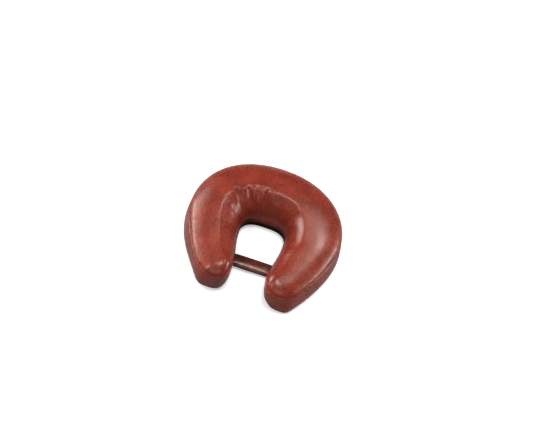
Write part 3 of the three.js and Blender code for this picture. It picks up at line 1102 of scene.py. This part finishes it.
def aim_rotation(back, roll=0.0):
    """The rotation of a camera or light whose back points along back, rolled about that line."""
    right = Vector((-back.y, back.x, 0)).normalized()
    up = back.cross(right)
    turned_right = right * math.cos(roll) + up * math.sin(roll)
    turned_up = up * math.cos(roll) - right * math.sin(roll)
    return Matrix((turned_right, turned_up, back)).transposed().to_euler()


def direction(turn, height):
    """The unit vector at an angle round from the open side, and a height, in radians."""
    flat = math.cos(height)
    return Vector((math.sin(turn) * flat, -math.cos(turn) * flat, math.sin(height)))


def build_camera():
    data = bpy.data.cameras.new("camera")
    data.lens = CAMERA_LENS
    data.sensor_width = 36
    data.shift_x, data.shift_y = CAMERA_SHIFT
    data.clip_start, data.clip_end = 0.05, 20
    camera = add_object("camera", data)
    back = direction(TURN, HEIGHT_ANGLE)
    camera.location = AIM + back * CAMERA_DISTANCE
    camera.rotation_euler = aim_rotation(back, ROLL)
    bpy.context.scene.camera = camera


def area_light(name, turn, height, distance, size, power):
    """A soft box aimed at the cushion: degrees round from the open side and up, metres, and watts."""
    data = bpy.data.lights.new(name, "AREA")
    data.shape = "RECTANGLE"
    data.size, data.size_y = size
    data.energy = power
    lamp = add_object(name, data)
    back = direction(math.radians(turn), math.radians(height))
    lamp.location = AIM + back * distance
    lamp.rotation_euler = aim_rotation(back)


def sky_light(name, turn, height, spread, strength):
    """A broad light from far above, which reaches the whole floor evenly. Its angles are in degrees."""
    data = bpy.data.lights.new(name, "SUN")
    data.angle = math.radians(spread)
    data.energy = strength
    lamp = add_object(name, data)
    lamp.rotation_euler = aim_rotation(direction(math.radians(turn), math.radians(height)))


FLOOR_TONE = 0.9  # how pale the floor looks
FLOOR_BOUNCE = 0.35  # how much of the light it throws back on the cushion's sides
FLOOR_GLOW = 0.35  # a glow that only the camera sees, which keeps it pale far from the lights
FLOOR_REACH = 40
WORLD_LIGHT = 0.09


def build_studio():
    sky_light("top_light", 180, 84, 15, 1.35)
    area_light("front_light", -60, 46, 1.6, (0.25, 0.25), 6.5)
    area_light("fill_light", 5, 46, 1.8, (1.4, 0.5), 6)
    area_light("rear_right_light", 138, 55, 1.6, (0.25, 0.25), 6.5)
    area_light("rear_left_light", -118, 33, 1.6, (0.6, 0.45), 6)
    area_light("left_light", -104, 18, 1.5, (0.8, 0.25), 12)
    area_light("right_light", 106, 17, 1.5, (0.8, 0.25), 9.5)
    world = bpy.data.worlds.new("studio")
    bpy.context.scene.world = world
    world.use_nodes = True
    background = world.node_tree.nodes["Background"]
    background.inputs["Color"].default_value = (1, 1, 1, 1)
    background.inputs["Strength"].default_value = WORLD_LIGHT
    bpy.context.scene.view_settings.view_transform = "Standard"
    build_floor()


def build_floor():
    """A plain floor, which looks paler than the light it throws back."""
    mesh = bpy.data.meshes.new("floor")
    reach = FLOOR_REACH
    corners = [(-reach, -reach, 0), (reach, -reach, 0), (reach, reach, 0), (-reach, reach, 0)]
    mesh.from_pydata(corners, [], [(0, 1, 2, 3)])
    floor = add_object("floor", mesh)
    n = Nodes("pale_floor")
    seen = n.add("ShaderNodeLightPath").outputs["Is Camera Ray"]
    n.link(n.scaled(seen, FLOOR_BOUNCE, FLOOR_TONE), n.shader.inputs["Base Color"])
    n.link(n.scaled(seen, 0, FLOOR_GLOW), n.shader.inputs["Emission Strength"])
    n.shader.inputs["Emission Color"].default_value = (1, 1, 1, 1)
    n.shader.inputs["Roughness"].default_value = 0.9
    mesh.materials.append(n.material)


# ---------- assembly ----------
build_camera()
build_studio()

cover_vinyl = vinyl("cover_vinyl", srgb(112, 37, 25), srgb(135, 49, 34), srgb(150, 60, 43), 0.28)
# The hole's lining is painted shade: a near black vinyl for the hole's wall, which lies in shade low down,
# and paler brown-red towards the top, as painted light on the edge where it is rolled over.
lining_vinyl = vinyl(
    "lining_vinyl",
    srgb(34, 12, 9),
    srgb(44, 16, 12),
    srgb(54, 21, 16),
    0.45,
    shine=0.08,
    fade=((12 * MM, 20 * MM), (0.2, 6.0)),
)
base_vinyl = vinyl(
    "base_vinyl", srgb(66, 24, 19), srgb(82, 31, 24), srgb(94, 38, 30), 0.50, shine=0.16
)
# The strap's vinyl is painted darker than the cover's vinyl, as painted shade for where the strap lies low
# between the arms.
strap_vinyl = vinyl(
    "strap_vinyl", srgb(66, 23, 16), srgb(84, 30, 22), srgb(102, 40, 30), 0.24, shine=0.5
)

build_cover(cover_vinyl)

JOIN = 11  # places behind the tip where the two bands meet on the hole's side
join_right = SIDE_PLACES + TIP_PLACES + JOIN
join_left = stations.count - join_right
everywhere = np.arange(stations.count)
build_band(
    "outer_band_vinyl",
    "outer_band",
    np.concatenate([everywhere[join_left:], everywhere[: join_right + 1]]),
    cover_vinyl,
)
build_band(
    "inner_band_vinyl",
    "inner_band",
    everywhere[join_right : join_left + 1],
    lining_vinyl,
)
build_base(base_vinyl)
build_strap(strap_vinyl)
build_foam_layer("base_foam", foam("firm_foam", (214, 198, 160)))
build_foam_layer("support_foam", foam("support_foam", (226, 212, 178)))
soft_foam = foam("comfort_foam", (238, 230, 206))
build_foam_layer("comfort_foam", soft_foam)
build_strap_padding(soft_foam)
build_sewn("strap_webbing", "strap_webbing_weave", woven("webbing", (62, 52, 50)), 0.4 * MM)
for hand in ("left", "right"):
    build_sewn("strap_patch_" + hand, "strap_patch_%s_vinyl" % hand, strap_vinyl, 0.5 * MM)
pile = loop_pile("loop_pile", srgb(24, 16, 15), srgb(58, 42, 39))
dark_thread = thread("dark_thread", (70, 50, 46))
for place in ("back", "left", "right"):
    build_tape("loop_tape_" + place, pile, dark_thread)
